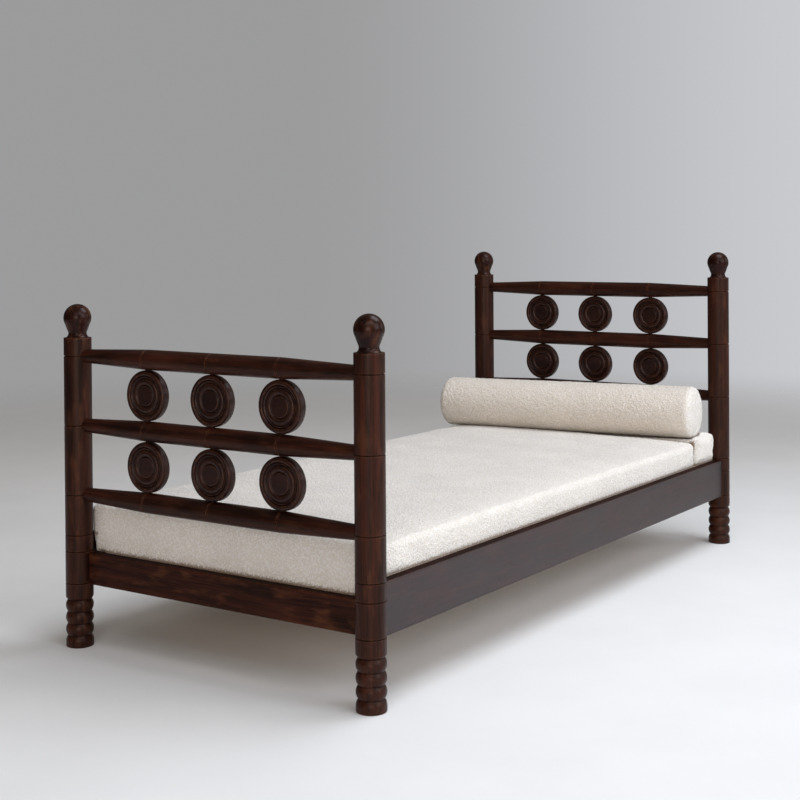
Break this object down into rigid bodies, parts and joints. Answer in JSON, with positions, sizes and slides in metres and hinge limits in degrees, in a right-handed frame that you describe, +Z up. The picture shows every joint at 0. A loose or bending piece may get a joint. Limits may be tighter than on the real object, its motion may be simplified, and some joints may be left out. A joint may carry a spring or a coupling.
{
  "type": "daybed",
  "caption": "Single daybed of dark turned wood: beaded feet, ball finials, turned rails and ringed discs at both ends, a slatted base, a looped-cloth mattress, a head cushion and a bolster.",
  "frame": {"origin": "on the floor, under the middle of the bed", "axes": "+Z up, +Y along the bed towards the taller head end, +X to the right when looking from the foot towards the head"},
  "size_m": [0.9852, 2.087, 0.9775],
  "materials": {
    "stained_wood": "satin",
    "slat_wood": "matte",
    "steel": "satin",
    "looped_cloth": "matte"
  },
  "bodies": {
    "frame": {"post_head_left": "stained_wood", "post_head_right": "stained_wood", "post_foot_left": "stained_wood", "post_foot_right": "stained_wood", "finial_head_left": "stained_wood", "finial_head_right": "stained_wood", "finial_foot_left": "stained_wood", "finial_foot_right": "stained_wood", "rail_head_1": "stained_wood", "rail_head_2": "stained_wood", "rail_head_3": "stained_wood", "rail_foot_1": "stained_wood", "rail_foot_2": "stained_wood", "rail_foot_3": "stained_wood", "disc_head_1": "stained_wood", "disc_head_2": "stained_wood", "disc_head_3": "stained_wood", "disc_head_4": "stained_wood", "disc_head_5": "stained_wood", "disc_head_6": "stained_wood", "disc_foot_1": "stained_wood", "disc_foot_2": "stained_wood", "disc_foot_3": "stained_wood", "disc_foot_4": "stained_wood", "disc_foot_5": "stained_wood", "disc_foot_6": "stained_wood", "end_board_head": "stained_wood", "end_board_foot": "stained_wood", "side_board_left": "stained_wood", "side_board_right": "stained_wood", "ledger_left": "slat_wood", "ledger_right": "slat_wood", "slat_01": "slat_wood", "slat_02": "slat_wood", "slat_03": "slat_wood", "slat_04": "slat_wood", "slat_05": "slat_wood", "slat_06": "slat_wood", "slat_07": "slat_wood", "slat_08": "slat_wood", "slat_09": "slat_wood", "slat_10": "slat_wood", "slat_11": "slat_wood", "slat_12": "slat_wood", "slat_13": "slat_wood", "rail_bolt_head_left": "steel", "rail_bolt_head_right": "steel", "rail_bolt_foot_left": "steel", "rail_bolt_foot_right": "steel", "rail_nut_head_left": "steel", "rail_nut_head_right": "steel", "rail_nut_foot_left": "steel", "rail_nut_foot_right": "steel"},
    "mattress": {"mattress": "looped_cloth"},
    "head_cushion": {"head_cushion": "looped_cloth"},
    "bolster": {"bolster": "looped_cloth"}
  },
  "joints": [
    {"name": "mattress_lift", "type": "slide", "parent": "frame", "child": "mattress", "axis": [0, 0, 1], "range_m": [0, 0.75]},
    {"name": "head_cushion_lift", "type": "slide", "parent": "mattress", "child": "head_cushion", "axis": [0, 0, 1], "range_m": [0, 0.75]},
    {"name": "bolster_lift", "type": "slide", "parent": "head_cushion", "child": "bolster", "axis": [0, 0, 1], "range_m": [0, 0.65]}
  ]
}
